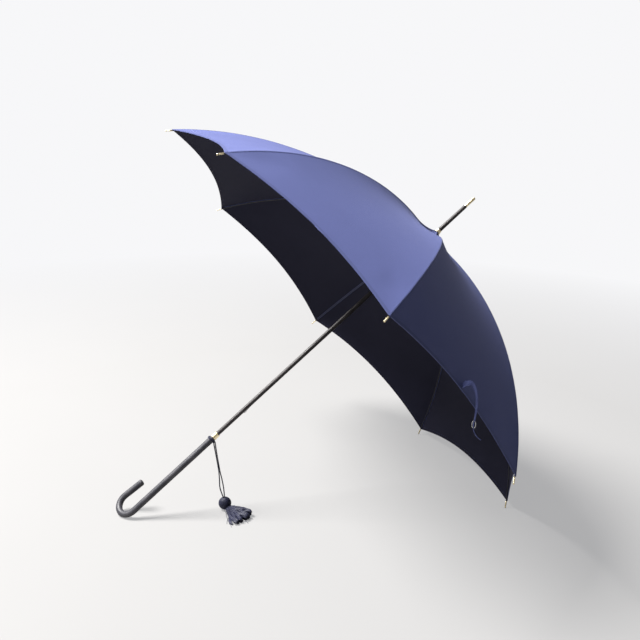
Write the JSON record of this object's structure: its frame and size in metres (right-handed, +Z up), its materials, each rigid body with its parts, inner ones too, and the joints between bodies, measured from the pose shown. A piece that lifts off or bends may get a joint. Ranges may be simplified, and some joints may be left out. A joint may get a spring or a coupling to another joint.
{
  "type": "stick umbrella",
  "caption": "Open stick umbrella with a scalloped cloth cover on steel ribs, a slim shaft with a long ferrule, and a leather-covered hook handle with a tassel.",
  "frame": {"origin": "the point of the floor that the bend of the handle rests on, with the open umbrella standing on two rib tips and its handle", "axes": "+Z up, +X along the floor under the shaft from the handle towards the ferrule, +Y to the left of +X"},
  "size_m": [0.7505, 0.918, 0.7098],
  "materials": {
    "cover_fabric": "matt",
    "dark_metal": "gloss",
    "rib_steel": "satin",
    "spring_steel": "satin",
    "brass": "polished",
    "handle_wood": "matt",
    "handle_leather": "satin",
    "tassel_thread": "matt",
    "strap_metal": "polished"
  },
  "bodies": {
    "root": {"shaft": "dark_metal", "runner_stop_pin": "spring_steel", "top_notch": "dark_metal", "top_notch_wire": "spring_steel", "ferrule_base_ring": "brass", "ferrule_rod": "dark_metal", "ferrule_cap": "brass", "handle_core": "handle_wood", "handle_leather": "handle_leather", "handle_collar": "brass"},
    "runner": {"runner": "dark_metal", "runner_wire": "spring_steel"},
    "top_catch": {"top_catch_spring": "spring_steel"},
    "bottom_catch": {"bottom_catch_spring": "spring_steel"},
    "cord_ring": {"cord_ring": "tassel_thread"},
    "tassel": {"tassel_cord": "tassel_thread", "tassel_ball": "tassel_thread", "tassel_skirt": "tassel_thread"},
    "strap": {"closure_strap": "cover_fabric", "strap_ring": "strap_metal"},
    "rib_1": {"rib_1": "rib_steel", "cover_panel_1": "cover_fabric"},
    "rod_1": {"rib_rod_1": "rib_steel", "rib_tip_1": "brass"},
    "stretcher_1": {"stretcher_1": "rib_steel"},
    "rib_2": {"rib_2": "rib_steel", "cover_panel_2": "cover_fabric"},
    "rod_2": {"rib_rod_2": "rib_steel", "rib_tip_2": "brass"},
    "stretcher_2": {"stretcher_2": "rib_steel"},
    "rib_3": {"rib_3": "rib_steel", "cover_panel_3": "cover_fabric"},
    "rod_3": {"rib_rod_3": "rib_steel", "rib_tip_3": "brass"},
    "stretcher_3": {"stretcher_3": "rib_steel"},
    "rib_4": {"rib_4": "rib_steel", "cover_panel_4": "cover_fabric"},
    "rod_4": {"rib_rod_4": "rib_steel", "rib_tip_4": "brass"},
    "stretcher_4": {"stretcher_4": "rib_steel"},
    "rib_5": {"rib_5": "rib_steel", "cover_panel_5": "cover_fabric"},
    "rod_5": {"rib_rod_5": "rib_steel", "rib_tip_5": "brass"},
    "stretcher_5": {"stretcher_5": "rib_steel"},
    "rib_6": {"rib_6": "rib_steel", "cover_panel_6": "cover_fabric"},
    "rod_6": {"rib_rod_6": "rib_steel", "rib_tip_6": "brass"},
    "stretcher_6": {"stretcher_6": "rib_steel"},
    "rib_7": {"rib_7": "rib_steel", "cover_panel_7": "cover_fabric"},
    "rod_7": {"rib_rod_7": "rib_steel", "rib_tip_7": "brass"},
    "stretcher_7": {"stretcher_7": "rib_steel"},
    "rib_8": {"rib_8": "rib_steel", "cover_panel_8": "cover_fabric"},
    "rod_8": {"rib_rod_8": "rib_steel", "rib_tip_8": "brass"},
    "stretcher_8": {"stretcher_8": "rib_steel"}
  },
  "joints": [
    {"name": "runner_slide", "type": "slide", "parent": "root", "child": "runner", "axis": [-0.7707, 0, -0.6372], "range_m": [0, 0.36689], "stiffness_N_per_m": 8, "springref_m": -0.6, "deforming": ["top_catch_spring", "bottom_catch_spring", "closure_strap"]},
    {"name": "rib_1_hinge", "type": "hinge", "parent": "root", "child": "rib_1", "pos_m": [0.62088, -0.01048, 0.50403], "axis": [-0.2438, 0.9239, 0.2949], "range_deg": [0, 73.92], "deforming": ["cover_panel_1"]},
    {"name": "rib_1_flex", "type": "hinge", "parent": "rib_1", "child": "rod_1", "pos_m": [0.7173, 0.07661, 0.31095], "axis": [0.2438, -0.9239, -0.2949], "range_deg": [0, 17.9]},
    {"name": "stretcher_1_hinge", "type": "hinge", "parent": "rib_1", "child": "stretcher_1", "pos_m": [0.7173, 0.07661, 0.31095], "axis": [0.2438, -0.9239, -0.2949], "range_deg": [0, 147.84]},
    {"name": "rib_2_hinge", "type": "hinge", "parent": "root", "child": "rib_2", "pos_m": [0.61812, -0.00615, 0.50736], "axis": [-0.5887, 0.3827, 0.712], "range_deg": [0, 73.92], "deforming": ["cover_panel_2"]},
    {"name": "rib_2_flex", "type": "hinge", "parent": "rib_2", "child": "rod_2", "pos_m": [0.63607, 0.2041, 0.40921], "axis": [0.5887, -0.3827, -0.712], "range_deg": [0, 17.9]},
    {"name": "stretcher_2_hinge", "type": "hinge", "parent": "rib_2", "child": "stretcher_2", "pos_m": [0.63607, 0.2041, 0.40921], "axis": [0.5887, -0.3827, -0.712], "range_deg": [0, 147.84]},
    {"name": "rib_3_hinge", "type": "hinge", "parent": "root", "child": "rib_3", "pos_m": [0.61422, -0.00615, 0.51208], "axis": [-0.5887, -0.3827, 0.712], "range_deg": [0, 73.92], "deforming": ["cover_panel_3"]},
    {"name": "rib_3_flex", "type": "hinge", "parent": "rib_3", "child": "rod_3", "pos_m": [0.52119, 0.2041, 0.54816], "axis": [0.5887, 0.3827, -0.712], "range_deg": [0, 17.9]},
    {"name": "stretcher_3_hinge", "type": "hinge", "parent": "rib_3", "child": "stretcher_3", "pos_m": [0.52119, 0.2041, 0.54816], "axis": [0.5887, 0.3827, -0.712], "range_deg": [0, 147.84]},
    {"name": "rib_4_hinge", "type": "hinge", "parent": "root", "child": "rib_4", "pos_m": [0.61146, -0.01048, 0.51542], "axis": [-0.2438, -0.9239, 0.2949], "range_deg": [0, 73.92], "deforming": ["cover_panel_4"]},
    {"name": "rib_4_flex", "type": "hinge", "parent": "rib_4", "child": "rod_4", "pos_m": [0.43995, 0.07661, 0.64642], "axis": [0.2438, 0.9239, -0.2949], "range_deg": [0, 17.9]},
    {"name": "stretcher_4_hinge", "type": "hinge", "parent": "rib_4", "child": "stretcher_4", "pos_m": [0.43995, 0.07661, 0.64642], "axis": [0.2438, 0.9239, -0.2949], "range_deg": [0, 147.84]},
    {"name": "rib_5_hinge", "type": "hinge", "parent": "root", "child": "rib_5", "pos_m": [0.61146, -0.0166, 0.51542], "axis": [0.2438, -0.9239, -0.2949], "range_deg": [0, 73.92], "deforming": ["cover_panel_5"]},
    {"name": "rib_5_flex", "type": "hinge", "parent": "rib_5", "child": "rod_5", "pos_m": [0.43995, -0.10369, 0.64642], "axis": [-0.2438, 0.9239, 0.2949], "range_deg": [0, 17.9]},
    {"name": "stretcher_5_hinge", "type": "hinge", "parent": "rib_5", "child": "stretcher_5", "pos_m": [0.43995, -0.10369, 0.64642], "axis": [-0.2438, 0.9239, 0.2949], "range_deg": [0, 147.84]},
    {"name": "rib_6_hinge", "type": "hinge", "parent": "root", "child": "rib_6", "pos_m": [0.61422, -0.02093, 0.51208], "axis": [0.5887, -0.3827, -0.712], "range_deg": [0, 73.92], "deforming": ["cover_panel_6"]},
    {"name": "rib_6_flex", "type": "hinge", "parent": "rib_6", "child": "rod_6", "pos_m": [0.52119, -0.23118, 0.54816], "axis": [-0.5887, 0.3827, 0.712], "range_deg": [0, 17.9]},
    {"name": "stretcher_6_hinge", "type": "hinge", "parent": "rib_6", "child": "stretcher_6", "pos_m": [0.52119, -0.23118, 0.54816], "axis": [-0.5887, 0.3827, 0.712], "range_deg": [0, 147.84]},
    {"name": "rib_7_hinge", "type": "hinge", "parent": "root", "child": "rib_7", "pos_m": [0.61812, -0.02093, 0.50736], "axis": [0.5887, 0.3827, -0.712], "range_deg": [0, 73.92], "deforming": ["cover_panel_7"]},
    {"name": "rib_7_flex", "type": "hinge", "parent": "rib_7", "child": "rod_7", "pos_m": [0.63607, -0.23118, 0.40921], "axis": [-0.5887, -0.3827, 0.712], "range_deg": [0, 17.9]},
    {"name": "stretcher_7_hinge", "type": "hinge", "parent": "rib_7", "child": "stretcher_7", "pos_m": [0.63607, -0.23118, 0.40921], "axis": [-0.5887, -0.3827, 0.712], "range_deg": [0, 147.84]},
    {"name": "rib_8_hinge", "type": "hinge", "parent": "root", "child": "rib_8", "pos_m": [0.62088, -0.0166, 0.50403], "axis": [0.2438, 0.9239, -0.2949], "range_deg": [0, 73.92], "deforming": ["cover_panel_8"]},
    {"name": "rib_8_flex", "type": "hinge", "parent": "rib_8", "child": "rod_8", "pos_m": [0.7173, -0.10369, 0.31095], "axis": [-0.2438, -0.9239, 0.2949], "range_deg": [0, 17.9]},
    {"name": "stretcher_8_hinge", "type": "hinge", "parent": "rib_8", "child": "stretcher_8", "pos_m": [0.7173, -0.10369, 0.31095], "axis": [-0.2438, -0.9239, 0.2949], "range_deg": [0, 147.84]},
    {"name": "top_catch_press", "type": "slide", "parent": "root", "child": "top_catch", "axis": [-0.6372, 0, 0.7707], "range_m": [0, 0.0026], "stiffness_N_per_m": 60, "springref_m": -0.002},
    {"name": "bottom_catch_press", "type": "slide", "parent": "root", "child": "bottom_catch", "axis": [-0.6372, 0, 0.7707], "range_m": [0, 0.0026], "stiffness_N_per_m": 60, "springref_m": -0.002},
    {"name": "cord_ring_turn", "type": "hinge", "parent": "root", "child": "cord_ring", "pos_m": [0.17147, -0.01354, 0.14206], "axis": [0.7707, 0, 0.6372], "range_deg": [-40, 40]},
    {"name": "tassel_swing", "type": "hinge", "parent": "cord_ring", "child": "tassel", "pos_m": [0.17688, -0.01354, 0.13551], "axis": [0, 1, 0], "range_deg": [-60, 20]},
    {"name": "strap_swing", "type": "hinge", "parent": "rod_6", "child": "strap", "pos_m": [0.45131, -0.45326, 0.37342], "axis": [-1, 0, 0], "range_deg": [-8, 100]}
  ],
  "couplings": [
    {"joint": "rib_1_hinge", "follows": "runner_slide", "rad_per_m": 3.5163},
    {"joint": "rib_1_flex", "follows": "runner_slide", "rad_per_m": 0.85151},
    {"joint": "stretcher_1_hinge", "follows": "runner_slide", "rad_per_m": 7.0327},
    {"joint": "rib_2_hinge", "follows": "runner_slide", "rad_per_m": 3.5163},
    {"joint": "rib_2_flex", "follows": "runner_slide", "rad_per_m": 0.85151},
    {"joint": "stretcher_2_hinge", "follows": "runner_slide", "rad_per_m": 7.0327},
    {"joint": "rib_3_hinge", "follows": "runner_slide", "rad_per_m": 3.5163},
    {"joint": "rib_3_flex", "follows": "runner_slide", "rad_per_m": 0.85151},
    {"joint": "stretcher_3_hinge", "follows": "runner_slide", "rad_per_m": 7.0327},
    {"joint": "rib_4_hinge", "follows": "runner_slide", "rad_per_m": 3.5163},
    {"joint": "rib_4_flex", "follows": "runner_slide", "rad_per_m": 0.85151},
    {"joint": "stretcher_4_hinge", "follows": "runner_slide", "rad_per_m": 7.0327},
    {"joint": "rib_5_hinge", "follows": "runner_slide", "rad_per_m": 3.5163},
    {"joint": "rib_5_flex", "follows": "runner_slide", "rad_per_m": 0.85151},
    {"joint": "stretcher_5_hinge", "follows": "runner_slide", "rad_per_m": 7.0327},
    {"joint": "rib_6_hinge", "follows": "runner_slide", "rad_per_m": 3.5163},
    {"joint": "rib_6_flex", "follows": "runner_slide", "rad_per_m": 0.85151},
    {"joint": "stretcher_6_hinge", "follows": "runner_slide", "rad_per_m": 7.0327},
    {"joint": "rib_7_hinge", "follows": "runner_slide", "rad_per_m": 3.5163},
    {"joint": "rib_7_flex", "follows": "runner_slide", "rad_per_m": 0.85151},
    {"joint": "stretcher_7_hinge", "follows": "runner_slide", "rad_per_m": 7.0327},
    {"joint": "rib_8_hinge", "follows": "runner_slide", "rad_per_m": 3.5163},
    {"joint": "rib_8_flex", "follows": "runner_slide", "rad_per_m": 0.85151},
    {"joint": "stretcher_8_hinge", "follows": "runner_slide", "rad_per_m": 7.0327}
  ]
}
